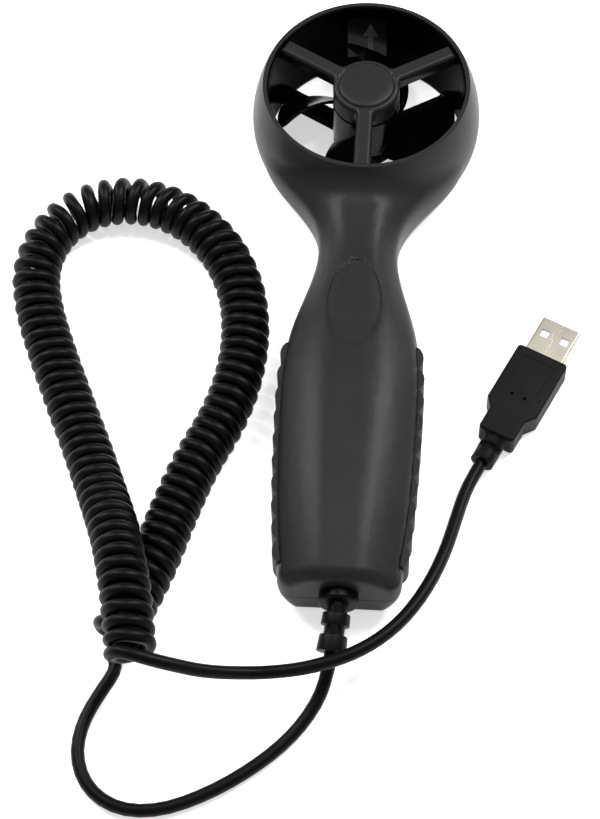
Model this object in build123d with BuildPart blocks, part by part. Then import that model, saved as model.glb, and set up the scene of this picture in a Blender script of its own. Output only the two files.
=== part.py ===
"""Hand-held vane anemometer probe with a curly USB lead, lying on its back.

Millimetres, +Z up. The probe rests on Z = 0 with its handle along Y and its head towards +Y.
The origin is under the middle of the probe, lead and plug left out.
"""
from build123d import *

from math import cos, pi, radians, sin, tan
import os

os.makedirs("parts", exist_ok=True)

# ---------------------------------------------------------------- driving dimensions
# Fits
SEAT_GAP = 0.1          # between pieces that sit in one another
RUNNING_GAP = 0.05      # shaft in its bushes, on the radius
WALL = 1.8              # moulded covers

# Head: an air duct with a rotor, guarded front and back
DUCT_RADIUS = 29.2
SLEEVE_WALL = 0.8
RIM_WALL = 0.7          # cover left round the sleeve at the front rim
HEAD_BULGE = 3.4        # widest part of the head beyond its front rim
BODY_DEPTH = 29.0       # back face to front rim
PARTING_HEIGHT = 9.0    # where the two covers meet
PARTING_REVEAL = 0.2    # the fine line left open between their walls
HEAD_WIDEST_HEIGHT = 12.5
RIM_LIP = 1.3           # cover over the sleeve's front edge
LIP_SETBACK = 0.4       # the lip's bore beyond the sleeve's
REAR_FLANGE = 1.2       # cover under the sleeve's rear edge

# Handle
HANDLE_LENGTH = 160.3   # head centre to the end face
NECK_FROM_HEAD = 47.0
NECK_HALF_WIDTH = 12.0
NECK_FRONT = 22.6       # height of the front surface at the neck
NECK_BLEND = 10.0       # radius where the handle runs into the head
GRIP_FROM_END = 52.0
GRIP_HALF_WIDTH = 19.8
GRIP_FRONT = 25.4
END_HALF_WIDTH = 16.6
END_FRONT = 22.0
END_ROUNDING = 4.0
SIDE_HEIGHT = 12.0      # where the handle is widest
HANDLE_START = 0.275    # share of the way to the neck at which the handle's shape starts
HEAD_INSET = 3.3        # the handle's half width there, inside the head's radius
SHOULDER_SWELL = 1.8    # half width at the shoulder, over the mean of head and neck
NECK_FLARE = 3.4        # half width gained back towards the head
NECK_RUN = 9.0          # over this length
THUMB_SWELL = 1.7       # half width over the mean of neck and grip
END_SWELL = 1.7         # half width near the end, over the end's own
END_RUN = 18.0          # this far from the end
FRONT_SWELL = 0.5       # height of the front between neck, grip and end, over the mean
START_SWELL = 1.4       # height of the front where the handle starts, over the neck's
SHOULDER_RISE = 1.0
STATION_COUNT = 16      # sections the handle is drawn through, evenly spaced
RECESS_WIDTH = 15.6
RECESS_LENGTH = 30.5
RECESS_DEPTH = 0.35
RECESS_FROM_HEAD = 74.0

# Side grips
STRIP_START_FROM_END = 76.0
STRIP_STOP_FROM_END = 6.5
STRIP_HEIGHT = 10.0
STRIP_DEPTH = 1.1
STRIP_PROUD = 1.0
RIDGE_COUNT = 10
RIDGE_RADIUS = 4.7

# Guards
GUARD_HUB_RADIUS = 9.9
GUARD_HUB_WALL = 1.5
SPOKE_WIDTH = 4.8
SPOKE_DEPTH = 4.4
SPOKE_ANGLES = (30, 150, 270)
SPOKE_FILLET = 1.6          # in plan, where a spoke meets the hub
SPOKE_ROUNDING = 1.3        # along the front edges
FRONT_GUARD_DROP = 1.0      # spokes' front below the rim
HUB_GAP = 0.8               # between the rotor's hub and each guard's
CAP_RADIUS = 8.2
CAP_THICKNESS = 1.5
REAR_SPOKE_DEPTH = 3.4

# Rotor
BLADE_COUNT = 4
TIP_GAP = 2.4
ROTOR_HUB_RADIUS = 10.0
ROTOR_HUB_WALL = 1.3
ROTOR_BASE = 6.0
ROTOR_TOP = 20.4
BLADE_INSET = 0.3           # blades start this far in from the hub's rear end
BLADE_DEPTH = 11.0          # along the axis
BLADE_THICKNESS = 1.0
BLADE_CORNER = 3.0
# From root to tip: share of the span, angle of the middle of the blade, tangential run per unit of depth
BLADE_STATIONS = ((0.0, -39.0, 0.70), (0.27, -24.0, 1.08), (0.52, -12.5, 1.38), (0.76, -2.5, 1.64), (1.0, 3.5, 1.88))
SHAFT_RADIUS = 1.0
BUSH_RADIUS = 2.6
BUSH_LENGTH = 3.2
BOSS_WALL = 1.4
END_PLAY = 0.3
MAGNET_RADIUS = 1.5
MAGNET_DEPTH = 1.6
MAGNET_CIRCLE = 6.2

# Electronics
BOARD_WIDTH = 17.0
BOARD_LENGTH = 64.0
BOARD_THICKNESS = 1.6
BOARD_HEIGHT = 12.0         # underside of the board
BOARD_FROM_HEAD = 78.0      # near end of the board
HEADER_HEIGHT = 4.4
WIRE_RADIUS = 0.6
WIRE_HEIGHT = 3.0

# Fasteners
SCREW_RADIUS = 1.2
SCREW_HEAD_RADIUS = 2.4
SCREW_HEAD_HEIGHT = 1.5
SCREW_LENGTH = 14.0
SCREW_SINK = 3.0
POST_RADIUS = 3.0
SCREW_X = 12.0
SCREW_FROM_END = 13.0
SCREW_FROM_HEAD = 84.0

# Lead
CORD_DIAMETER = 3.7
COIL_DIAMETER = 14.2
EXIT_HEIGHT = 11.5          # strain relief above the back face
COLLAR_RADIUS = 5.4
COLLAR_STEP = 0.8           # collar over the hole it stops
COLLAR_LENGTH = 3.0
FLANGE_THICKNESS = 1.6
TIE_FROM_FLANGE = 3.0
RELIEF_LENGTH = 13.0
RELIEF_RADIUS = 3.9
RELIEF_CORE = 2.8
RELIEF_DIRECTION = (-1.3, -12.9, -3.6)
RELIEF_RINGS = ((2.4, 3.4), (8.4, 4.6))     # (start, length) along the relief
# The lead from the strain relief to the coil
LEAD_TO_COIL = [
    (-1.26, -112.7, 8.03), (-1.94, -119.4, 6.16), (-5.2, -127.4, 3.2), (-11.6, -136.2, 1.95),
    (-20.6, -144.6, 1.9), (-31.4, -152.0, 1.9), (-43.5, -157.4, 1.9), (-54.6, -157.7, 1.9),
    (-63.2, -152.4, 1.9), (-67.3, -143.4, 1.9), (-66.5, -133.6, 1.9), (-62.6, -124.8, 1.9),
    (-58.6, -117.4, 1.9), (-58.0, -110.6, 2.2),
]
# The middle of the coil, from its lower end up round the loop and down over itself
COIL = [
    (-60.8, -113.0, 7.2), (-55.8, -101.0, 7.2), (-50.8, -86.6, 7.2), (-46.9, -71.2, 7.2),
    (-42.2, -56.0, 7.2), (-36.0, -42.6, 7.2), (-31.9, -27.4, 7.2), (-31.1, -11.2, 7.2),
    (-33.9, 4.2, 7.2), (-41.5, 18.4, 7.2), (-53.6, 29.2, 7.2), (-67.8, 33.4, 7.2),
    (-81.6, 30.4, 7.2), (-91.4, 20.6, 7.2), (-95.0, 6.8, 7.2), (-92.2, -7.4, 7.2),
    (-86.6, -22.0, 7.2), (-80.8, -37.6, 7.2), (-74.8, -53.6, 7.4), (-69.8, -69.4, 9.0),
    (-65.2, -85.4, 14.6), (-60.4, -99.8, 20.8), (-56.2, -112.4, 22.6), (-53.2, -123.6, 21.6),
]
# The lead from the coil's raised end to the plug
LEAD_TO_PLUG = [
    (-53.4, -122.4, 16.4), (-47.0, -123.6, 15.4), (-38.6, -123.0, 13.0), (-28.6, -121.8, 11.2),
    (-18.4, -121.2, 11.4), (-9.2, -120.4, 13.2), (-1.8, -118.6, 14.4), (5.4, -115.4, 14.4),
    (12.4, -110.2, 13.8), (18.8, -102.8, 12.9), (24.4, -92.6, 11.4), (28.4, -81.2, 9.0),
    (31.0, -69.8, 6.2), (33.4, -59.6, 4.3), (37.0, -51.6, 3.9), (38.2, -49.2, 3.9),
]

# USB type A plug
SHELL_WIDTH = 12.0
SHELL_HEIGHT = 4.5
SHELL_LENGTH = 12.2
SHELL_WALL = 0.3
PLUG_THICKNESS = 7.8
PLUG_WIDTH = 15.7
PLUG_WIDE_LENGTH = 19.9
PLUG_NARROW_WIDTH = 11.0
PLUG_SHOULDER = 3.2
PLUG_LENGTH = 30.3
PLUG_RELIEF_RADIUS = 3.4
PLUG_RELIEF_LENGTH = 8.2
PLUG_RELIEF_CORE = 2.5
SHELL_HIDDEN = 6.0          # shell inside the overmould
WINDOW_SIZE = (2.5, 2.5)
WINDOW_PLACE = (3.1, 5.9)   # to each side of the middle, and from the overmould
PLUG_PLACE = (54.6, -15.6)
PLUG_TURN = -26.0           # about +Z, from pointing along +Y

# ---------------------------------------------------------------- sizes that follow
pocket_radius = DUCT_RADIUS + SLEEVE_WALL + SEAT_GAP
rim_radius = pocket_radius + RIM_WALL
head_radius = rim_radius + HEAD_BULGE
overall_length = HANDLE_LENGTH + head_radius
head_y = overall_length / 2 - head_radius
end_y = -overall_length / 2
head_centre = (0, head_y)
cord_radius = CORD_DIAMETER / 2
lip_radius = DUCT_RADIUS + LIP_SETBACK
grip_from_head = HANDLE_LENGTH - GRIP_FROM_END
thumb_from_head = (NECK_FROM_HEAD + grip_from_head) / 2
handle_start = NECK_FROM_HEAD * HANDLE_START
neck_radius = COLLAR_RADIUS - COLLAR_STEP
tip_radius = DUCT_RADIUS - TIP_GAP
front_guard_top = BODY_DEPTH - FRONT_GUARD_DROP
front_hub_base = ROTOR_TOP + HUB_GAP
rear_hub_top = ROTOR_BASE - HUB_GAP
rear_guard_base = REAR_FLANGE + SEAT_GAP
blade_rear = ROTOR_BASE + BLADE_INSET
duct_axis = Axis((0, head_y, 0), (0, 0, 1))
end_plane = Plane(origin=(0, end_y, EXIT_HEIGHT), x_dir=(1, 0, 0), z_dir=(0, -1, 0))
STANDING = (Align.CENTER, Align.CENTER, Align.MIN)


def from_head(distance):
    """The Y that lies this far down the handle from the head's centre."""
    return head_y - distance


# ---------------------------------------------------------------- outer body of the two covers
# Smooth lines down the handle, as (distance from the head's centre, value)
flank_line = Spline(
    (handle_start, head_radius - HEAD_INSET),
    (2 * handle_start, (head_radius + NECK_HALF_WIDTH) / 2 + SHOULDER_SWELL),
    (NECK_FROM_HEAD - NECK_RUN, NECK_HALF_WIDTH + NECK_FLARE),
    (NECK_FROM_HEAD, NECK_HALF_WIDTH),
    (thumb_from_head, (NECK_HALF_WIDTH + GRIP_HALF_WIDTH) / 2 + THUMB_SWELL),
    (grip_from_head, GRIP_HALF_WIDTH),
    (HANDLE_LENGTH - END_RUN, END_HALF_WIDTH + END_SWELL),
    (HANDLE_LENGTH, END_HALF_WIDTH),
)
front_line = Spline(
    (handle_start, NECK_FRONT + START_SWELL),
    (2 * handle_start, NECK_FRONT + SHOULDER_RISE),
    (NECK_FROM_HEAD, NECK_FRONT),
    (thumb_from_head, (NECK_FRONT + GRIP_FRONT) / 2 + FRONT_SWELL),
    (grip_from_head, GRIP_FRONT),
    (HANDLE_LENGTH - END_RUN, (END_FRONT + GRIP_FRONT) / 2 + FRONT_SWELL),
    (HANDLE_LENGTH, END_FRONT),
)


def read_line(line, distance):
    """The value one of these lines has at a distance, found by halving."""
    low, high = 0.0, 1.0
    for halving in range(30):
        middle = (low + high) / 2
        if (line @ middle).X < distance:
            low = middle
        else:
            high = middle
    return (line @ low).Y


def handle_stations():
    """(distance from head centre, half width, height of the front), evenly spaced down the handle."""
    spacing = (HANDLE_LENGTH - handle_start) / STATION_COUNT
    distances = [handle_start + spacing * count for count in range(STATION_COUNT + 1)]
    return [(place, read_line(flank_line, place), read_line(front_line, place)) for place in distances]


def body_section(distance, half_width, front, inset):
    """One cross-section of the handle: flat back, round sides, flattened front."""
    side = SIDE_HEIGHT
    w = half_width - inset
    top = front - inset
    low = inset - 1.0
    rise = top - side
    with BuildSketch(Plane.XZ.offset(-from_head(distance))) as section:
        with BuildLine():
            Spline(
                (0, top), (0.42 * w, top - 0.04 * rise), (0.84 * w, top - 0.40 * rise), (w, side),
                tangents=((1, 0), (0, -1)),
            )
            Spline((w, side), (0.9 * w, 3.6 + inset), (0.62 * w, low), tangents=((0, -1), (-1, -0.35)))
            Line((0.62 * w, low), (0, low))
            mirror(about=Plane.YZ)
        make_face()
    return section.sketch


def handle_solid(inset=0.0):
    """The handle from inside the head's ring to its end face."""
    stations = handle_stations()
    last, half_width, front = stations[-1]
    with BuildPart() as handle:
        for distance, half, top in stations[:-1]:
            add(body_section(distance, half, top, inset))
        add(body_section(last - inset, half_width, front, inset))
        loft()
        split(bisect_by=Plane.XY.offset(inset), keep=Keep.TOP)
        if inset == 0.0:
            end_face = handle.faces().sort_by(Axis.Y)[0]
            fillet(end_face.edges(), END_ROUNDING)
    return handle.part


def head_solid(inset=0.0):
    """The barrel-shaped outside of the head, with its rims cut flat."""
    widest = (head_radius - inset, HEAD_WIDEST_HEIGHT)
    with BuildPart() as head:
        with BuildSketch(Plane.XZ.offset(-head_y)):
            with BuildLine():
                Line((0, inset), (rim_radius + 0.4 - inset, inset))
                TangentArc(widest, (rim_radius + 0.4 - inset, inset), tangent=(0, -1))
                TangentArc(widest, (rim_radius - inset, BODY_DEPTH - inset), tangent=(0, 1))
                Line((rim_radius - inset, BODY_DEPTH - inset), (0, BODY_DEPTH - inset))
                Line((0, BODY_DEPTH - inset), (0, inset))
            make_face()
        revolve(axis=duct_axis)
    return head.part


def neck_creases(body):
    """The edges where the handle runs into the barrel."""
    creases = []
    for edge in body.edges().filter_by(GeomType.BSPLINE):
        reaches = [Vector(end.X, end.Y - head_y).length for end in edge.vertices()]
        on_barrel = rim_radius - 1.0 < min(reaches) and max(reaches) < head_radius + 0.5
        if on_barrel and edge.bounding_box().size.Z > 1.0:
            creases.append(edge)
    return creases


handle_outside = handle_solid()
handle_inside = handle_solid(WALL)
head_inside = head_solid(WALL)

with BuildPart() as outside:
    add(head_solid())
    add(handle_outside)
    fillet(neck_creases(outside), NECK_BLEND)

screw_rows = (from_head(SCREW_FROM_HEAD), end_y + SCREW_FROM_END)
screw_places = [(x, y) for y in screw_rows for x in (-SCREW_X, SCREW_X)]
screw_top = SCREW_SINK + SCREW_LENGTH


def at_screws(height):
    """Places for the screws and their posts, at this height."""
    return Locations(*[(x, y, height) for x, y in screw_places])


def band_solid(grow=0.0):
    """Boxes of space down both flanks, where the grip strips lie."""
    start = end_y + STRIP_START_FROM_END + grow
    stop = end_y + STRIP_STOP_FROM_END - grow
    with BuildPart() as band:
        with Locations(*[(side * head_radius / 2, (start + stop) / 2, SIDE_HEIGHT) for side in (-1, 1)]):
            Box(head_radius, start - stop, STRIP_HEIGHT + 2 * grow)
    return band.part


def strip_pocket():
    """What the covers lose so that the strips lie in them."""
    with BuildPart() as pocket:
        add(band_solid(SEAT_GAP))
        add(strip_floor, mode=Mode.SUBTRACT)
    return pocket.part


def thumb_pocket():
    """A shallow oval that follows the handle's front."""
    with BuildPart() as pocket:
        with BuildSketch(Plane.XY.offset(SIDE_HEIGHT)):
            with Locations((0, from_head(RECESS_FROM_HEAD))):
                Ellipse(RECESS_WIDTH / 2, RECESS_LENGTH / 2)
        extrude(amount=BODY_DEPTH)
        add(handle_solid(RECESS_DEPTH), mode=Mode.SUBTRACT)
    return pocket.part


def screw_posts(low, high, hole_radius, hole_top):
    """Round posts inside the handle, cut off at its outside, each with a hole."""
    with BuildPart() as posts:
        with at_screws(low):
            Cylinder(POST_RADIUS, high - low, align=STANDING)
        add(handle_outside, mode=Mode.INTERSECT)
        with at_screws(low):
            Cylinder(hole_radius, hole_top - low, align=STANDING, mode=Mode.SUBTRACT)
    return posts.part


def round_hole(radius, low, high):
    """A hole along the duct's axis."""
    with BuildPart() as hole:
        with Locations((0, head_y, low)):
            Cylinder(radius, high - low, align=STANDING)
    return hole.part


def exit_hole():
    """The way out for the strain relief."""
    with BuildPart() as hole:
        with BuildSketch(end_plane.offset(1.0)):
            Circle(neck_radius + SEAT_GAP)
        extrude(amount=-1.0 - 2 * WALL)
    return hole.part


strip_floor = handle_solid(STRIP_DEPTH)
strip_space = strip_pocket()

# ---------------------------------------------------------------- front cover
with BuildPart() as front_cover:
    add(outside.part)
    split(bisect_by=Plane.XY.offset(PARTING_HEIGHT), keep=Keep.TOP)
    add(handle_inside, mode=Mode.SUBTRACT)
    add(head_inside, mode=Mode.SUBTRACT)
    add(screw_posts(PARTING_HEIGHT, BODY_DEPTH, SCREW_RADIUS + RUNNING_GAP, screw_top + 1.0))
    add(round_hole(pocket_radius, 0, BODY_DEPTH - RIM_LIP), mode=Mode.SUBTRACT)
    add(round_hole(lip_radius, 0, 2 * BODY_DEPTH), mode=Mode.SUBTRACT)
    add(strip_space, mode=Mode.SUBTRACT)
    add(thumb_pocket(), mode=Mode.SUBTRACT)
    add(exit_hole(), mode=Mode.SUBTRACT)

# ---------------------------------------------------------------- rear cover, with ribs under the board
rib_rows = [from_head(BOARD_FROM_HEAD + BOARD_LENGTH * share) for share in (0.25, 0.55, 0.9)]

with BuildPart() as rear_cover:
    add(outside.part)
    split(bisect_by=Plane.XY.offset(PARTING_HEIGHT - PARTING_REVEAL), keep=Keep.BOTTOM)
    add(handle_inside, mode=Mode.SUBTRACT)
    add(head_inside, mode=Mode.SUBTRACT)
    add(screw_posts(0, PARTING_HEIGHT, SCREW_RADIUS + SEAT_GAP, PARTING_HEIGHT))
    with Locations(*[(0, y, WALL / 2) for y in rib_rows]):
        Box(BOARD_WIDTH - 3.0, WALL, BOARD_HEIGHT - WALL / 2, align=STANDING)
    add(round_hole(pocket_radius, REAR_FLANGE, BODY_DEPTH), mode=Mode.SUBTRACT)
    add(round_hole(lip_radius, -1.0, BODY_DEPTH), mode=Mode.SUBTRACT)
    add(strip_space, mode=Mode.SUBTRACT)
    add(exit_hole(), mode=Mode.SUBTRACT)
    with at_screws(-1.0):
        Cylinder(SCREW_HEAD_RADIUS + SEAT_GAP, SCREW_SINK + 1.0, align=STANDING, mode=Mode.SUBTRACT)

# ---------------------------------------------------------------- cover screws, cross-headed
with BuildPart() as cover_screws:
    with at_screws(SCREW_SINK - SCREW_HEAD_HEIGHT):
        Cylinder(SCREW_HEAD_RADIUS, SCREW_HEAD_HEIGHT, align=STANDING)
    with at_screws(SCREW_SINK):
        Cylinder(SCREW_RADIUS, SCREW_LENGTH, align=STANDING)
    with at_screws(SCREW_SINK - SCREW_HEAD_HEIGHT):
        Box(0.7, 2.8, 0.8, align=STANDING, mode=Mode.SUBTRACT)
        Box(2.8, 0.7, 0.8, align=STANDING, mode=Mode.SUBTRACT)


# ---------------------------------------------------------------- grip strips
def grip_strip(side):
    """A rubber strip of upright scallops down one flank."""
    pitch = (STRIP_START_FROM_END - STRIP_STOP_FROM_END) / RIDGE_COUNT
    with BuildPart() as ridges:
        for ridge in range(RIDGE_COUNT):
            distance = HANDLE_LENGTH - STRIP_START_FROM_END + pitch * (ridge + 0.5)
            reach = read_line(flank_line, distance) + STRIP_PROUD - RIDGE_RADIUS
            with Locations((side * reach, from_head(distance), SIDE_HEIGHT)):
                Cylinder(RIDGE_RADIUS, STRIP_HEIGHT)
        with Locations((side * head_radius / 2, (strip_start + strip_stop) / 2, SIDE_HEIGHT)):
            Box(head_radius, strip_start - strip_stop, STRIP_HEIGHT, mode=Mode.INTERSECT)
        add(strip_floor, mode=Mode.SUBTRACT)
    return ridges.part


strip_start = end_y + STRIP_START_FROM_END
strip_stop = end_y + STRIP_STOP_FROM_END

with BuildPart() as left_grip:
    add(grip_strip(-1))

with BuildPart() as right_grip:
    add(grip_strip(1))

# ---------------------------------------------------------------- duct sleeve
sleeve_top = BODY_DEPTH - RIM_LIP - SEAT_GAP

with BuildPart() as duct_sleeve:
    with BuildSketch(Plane.XY.offset(rear_guard_base)):
        with Locations(head_centre):
            Circle(DUCT_RADIUS + SLEEVE_WALL)
            Circle(DUCT_RADIUS, mode=Mode.SUBTRACT)
    extrude(amount=sleeve_top - rear_guard_base)
    with Locations((0, from_head(DUCT_RADIUS + SLEEVE_WALL / 2), WIRE_HEIGHT)):
        Cylinder(WIRE_RADIUS + SEAT_GAP, 4 * SLEEVE_WALL, rotation=(90, 0, 0), mode=Mode.SUBTRACT)


# ---------------------------------------------------------------- guards and bushes
def guard_outline(height, width):
    """A hub with spokes out to the sleeve, softened where they meet."""
    with BuildSketch(Plane.XY.offset(height)) as outline:
        for angle in SPOKE_ANGLES:
            with Locations(Location((0, head_y, 0), (0, 0, angle))):
                Rectangle(2 * DUCT_RADIUS, width, align=(Align.MIN, Align.CENTER))
        with Locations(head_centre):
            Circle(GUARD_HUB_RADIUS)
            Circle(DUCT_RADIUS, mode=Mode.INTERSECT)
        near_hub = [
            corner for corner in outline.vertices()
            if abs(Vector(corner.X, corner.Y - head_y).length - GUARD_HUB_RADIUS) < 0.1
        ]
        fillet(near_hub, SPOKE_FILLET)
    return outline.sketch


def ring(outer, inner, low, high):
    """A plain ring on the duct's axis."""
    with BuildPart() as band:
        with BuildSketch(Plane.XY.offset(low)):
            with Locations(head_centre):
                Circle(outer)
                Circle(inner, mode=Mode.SUBTRACT)
        extrude(amount=high - low)
    return band.part


boss_radius = BUSH_RADIUS + BOSS_WALL
inner_hub_radius = GUARD_HUB_RADIUS - GUARD_HUB_WALL
cap_seat = front_guard_top - CAP_THICKNESS / 2
front_bush_low = front_hub_base
rear_bush_low = rear_hub_top - BUSH_LENGTH
hub_floor = rear_guard_base + GUARD_HUB_WALL / 2

with BuildPart() as front_guard:
    add(guard_outline(front_guard_top - SPOKE_DEPTH, SPOKE_WIDTH))
    extrude(amount=SPOKE_DEPTH)
    add(round_hole(GUARD_HUB_RADIUS, front_hub_base, front_guard_top))
    fillet(front_guard.faces().sort_by(Axis.Z)[-1].edges(), SPOKE_ROUNDING)
    add(ring(inner_hub_radius, boss_radius, 0, cap_seat - GUARD_HUB_WALL), mode=Mode.SUBTRACT)
    add(round_hole(BUSH_RADIUS, 0, front_bush_low + BUSH_LENGTH), mode=Mode.SUBTRACT)
    add(round_hole(CAP_RADIUS + SEAT_GAP, cap_seat, BODY_DEPTH), mode=Mode.SUBTRACT)

with BuildPart() as hub_cap:
    with BuildSketch(Plane.XZ.offset(-head_y)):
        with BuildLine():
            Polyline(
                (0, cap_seat + CAP_THICKNESS), (0, cap_seat), (CAP_RADIUS, cap_seat),
                (CAP_RADIUS, cap_seat + 0.55 * CAP_THICKNESS),
            )
            Spline(
                (CAP_RADIUS, cap_seat + 0.55 * CAP_THICKNESS),
                (CAP_RADIUS - 0.7, cap_seat + 0.85 * CAP_THICKNESS),
                (0, cap_seat + CAP_THICKNESS),
                tangents=((0, 1), (-1, 0)),
            )
        make_face()
    revolve(axis=duct_axis)

with BuildPart() as front_bearing:
    add(ring(BUSH_RADIUS, SHAFT_RADIUS + RUNNING_GAP, front_bush_low, front_bush_low + BUSH_LENGTH))

with BuildPart() as rear_guard:
    add(guard_outline(rear_guard_base, SPOKE_WIDTH))
    extrude(amount=REAR_SPOKE_DEPTH)
    add(round_hole(GUARD_HUB_RADIUS, rear_guard_base, rear_hub_top))
    add(ring(inner_hub_radius, boss_radius, hub_floor, BODY_DEPTH), mode=Mode.SUBTRACT)
    add(round_hole(BUSH_RADIUS, rear_bush_low, BODY_DEPTH), mode=Mode.SUBTRACT)
    with Locations((0, from_head(DUCT_RADIUS), WIRE_HEIGHT)):
        Cylinder(
            WIRE_RADIUS + SEAT_GAP, 2 * (DUCT_RADIUS - boss_radius - 1.0),
            rotation=(90, 0, 0), mode=Mode.SUBTRACT,
        )

with BuildPart() as rear_bearing:
    add(ring(BUSH_RADIUS, SHAFT_RADIUS + RUNNING_GAP, rear_bush_low, rear_hub_top))

# ---------------------------------------------------------------- rotor
with BuildPart() as impeller_shaft:
    add(round_hole(SHAFT_RADIUS, rear_bush_low + END_PLAY, front_bush_low + BUSH_LENGTH - END_PLAY))


def blade_section(radius, mid_angle, slope):
    """A blade's cut at this radius: a thin plate leaning back from its front edge."""
    turn = radians(mid_angle)
    plane = Plane(
        origin=(radius * cos(turn), radius * sin(turn), blade_rear + BLADE_DEPTH / 2),
        x_dir=(-sin(turn), cos(turn), 0),
        z_dir=(cos(turn), sin(turn), 0),
    )
    half = BLADE_DEPTH / 2 + BLADE_THICKNESS
    run = half * slope
    thick = BLADE_THICKNESS / 2 * (1 + slope**2) ** 0.5
    with BuildSketch(plane) as cut:
        with BuildLine():
            Polyline(
                (run - thick, half), (run + thick, half), (thick - run, -half), (-thick - run, -half),
                close=True,
            )
        make_face()
    return cut.sketch


blade_root = ROTOR_HUB_RADIUS - ROTOR_HUB_WALL / 2
with BuildPart() as blade_envelope:
    with BuildSketch(Plane.XZ) as side_view:
        with Locations((blade_root, blade_rear)):
            Rectangle(tip_radius - blade_root, BLADE_DEPTH, align=(Align.MIN, Align.MIN))
        fillet(side_view.vertices().group_by(Axis.X)[-1], BLADE_CORNER)
    revolve(axis=Axis.Z)

with BuildPart() as blade:
    for share, mid_angle, slope in BLADE_STATIONS:
        add(blade_section(blade_root - 1.0 + share * (tip_radius - blade_root + 3.0), mid_angle, slope))
    loft()
    add(blade_envelope.part, mode=Mode.INTERSECT)

magnet_places = [(side * MAGNET_CIRCLE, head_y, ROTOR_BASE) for side in (-1, 1)]
hub_pocket_floor = ROTOR_BASE + 2 * MAGNET_DEPTH

with BuildPart() as impeller:
    add(round_hole(ROTOR_HUB_RADIUS, ROTOR_BASE, ROTOR_TOP))
    add(
        ring(ROTOR_HUB_RADIUS - ROTOR_HUB_WALL, SHAFT_RADIUS + BOSS_WALL, hub_pocket_floor, BODY_DEPTH),
        mode=Mode.SUBTRACT,
    )
    add(round_hole(SHAFT_RADIUS, 0, BODY_DEPTH), mode=Mode.SUBTRACT)
    with Locations(*magnet_places):
        Cylinder(MAGNET_RADIUS + SEAT_GAP / 2, MAGNET_DEPTH, align=STANDING, mode=Mode.SUBTRACT)
    with Locations((0, head_y, 0)):
        with PolarLocations(0, BLADE_COUNT):
            add(blade.part)

with BuildPart() as rotor_magnets:
    with Locations(*magnet_places):
        Cylinder(MAGNET_RADIUS, MAGNET_DEPTH, align=STANDING)

# ---------------------------------------------------------------- electronics
sensor_y = from_head(MAGNET_CIRCLE)
board_near = from_head(BOARD_FROM_HEAD)
board_y = board_near - BOARD_LENGTH / 2
board_top = BOARD_HEIGHT + BOARD_THICKNESS
header_middle = board_top + HEADER_HEIGHT / 2

with BuildPart() as hall_sensor:
    with Locations((0, sensor_y, hub_floor)):
        Box(4.0, 3.0, rear_hub_top - hub_floor - HUB_GAP, align=STANDING)

with BuildPart() as circuit_board:
    with Locations((0, board_y, BOARD_HEIGHT)):
        Box(BOARD_WIDTH, BOARD_LENGTH, BOARD_THICKNESS, align=STANDING)
    fillet(circuit_board.edges().filter_by(Axis.Z), 1.0)


def board_blocks(width, length, height, *places):
    """Boxes on top of the board, each centred at (across, distance from the near end)."""
    with BuildPart() as blocks:
        with Locations(*[(x, board_near - distance, board_top) for x, distance in places]):
            Box(width, length, height, align=STANDING)
    return blocks.part


with BuildPart() as wire_header:
    add(board_blocks(9.0, 5.0, HEADER_HEIGHT, (0, 3.5)))

with BuildPart() as lead_header:
    add(board_blocks(9.0, 5.0, HEADER_HEIGHT, (0, BOARD_LENGTH - 3.5)))

with BuildPart() as main_chip:
    add(board_blocks(9.0, 9.0, 1.4, (0, 22.0)))

with BuildPart() as usb_chip:
    add(board_blocks(6.5, 5.4, 1.4, (-1.0, 42.0)))

with BuildPart() as crystal:
    add(board_blocks(3.4, 8.0, 3.0, (5.8, 34.0)))
    fillet(crystal.edges().filter_by(Axis.Z), 1.4)

with BuildPart() as capacitors:
    with Locations(*[(x, board_near - y, board_top) for x, y in ((-5.0, 12.0), (5.2, 12.0), (-5.4, 50.0))]):
        Cylinder(2.0, 4.6, align=STANDING)

with BuildPart() as resistors:
    add(board_blocks(2.0, 1.2, 0.6, *[(x, y) for y in (29.5, 33.0, 36.5) for x in (-5.5, -1.5)]))


def round_tube(points, radii, diameter):
    """A round tube along straight runs joined by tangent arcs."""
    with BuildPart() as tube:
        with BuildLine() as route:
            FilletPolyline(*points, radius=radii)
        with BuildSketch(Plane(origin=route.line @ 0, z_dir=route.line % 0)):
            Circle(diameter / 2)
        sweep()
    return tube.part, sum(edge.length for edge in route.edges())


def bend_radii(points):
    """At each corner, as large an arc as its two runs allow."""
    radii = []
    for before, corner, after in zip(points, points[1:], points[2:]):
        arriving = Vector(*corner) - Vector(*before)
        leaving = Vector(*after) - Vector(*corner)
        half_turn = radians(arriving.get_angle(leaving)) / 2
        radii.append(0.45 * min(arriving.length, leaving.length) / tan(half_turn))
    return radii


sensor_wire_route = [
    (0, sensor_y - 1.5, WIRE_HEIGHT),
    (0, from_head(head_radius + 12.0), WIRE_HEIGHT),
    (0, board_near + 9.0, header_middle),
    (0, board_near - 1.0, header_middle),
]
with BuildPart() as sensor_wires:
    add(round_tube(sensor_wire_route, 5.0, 2 * WIRE_RADIUS)[0])


# ---------------------------------------------------------------- strain relief and the lead inside the handle
flange_low = 2 * WALL + SEAT_GAP
flange_high = flange_low + FLANGE_THICKNESS
relief_start = Vector(0, end_y - COLLAR_LENGTH, EXIT_HEIGHT)
relief_plane = Plane(origin=relief_start, x_dir=(1, 0, 0), z_dir=RELIEF_DIRECTION)

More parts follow.
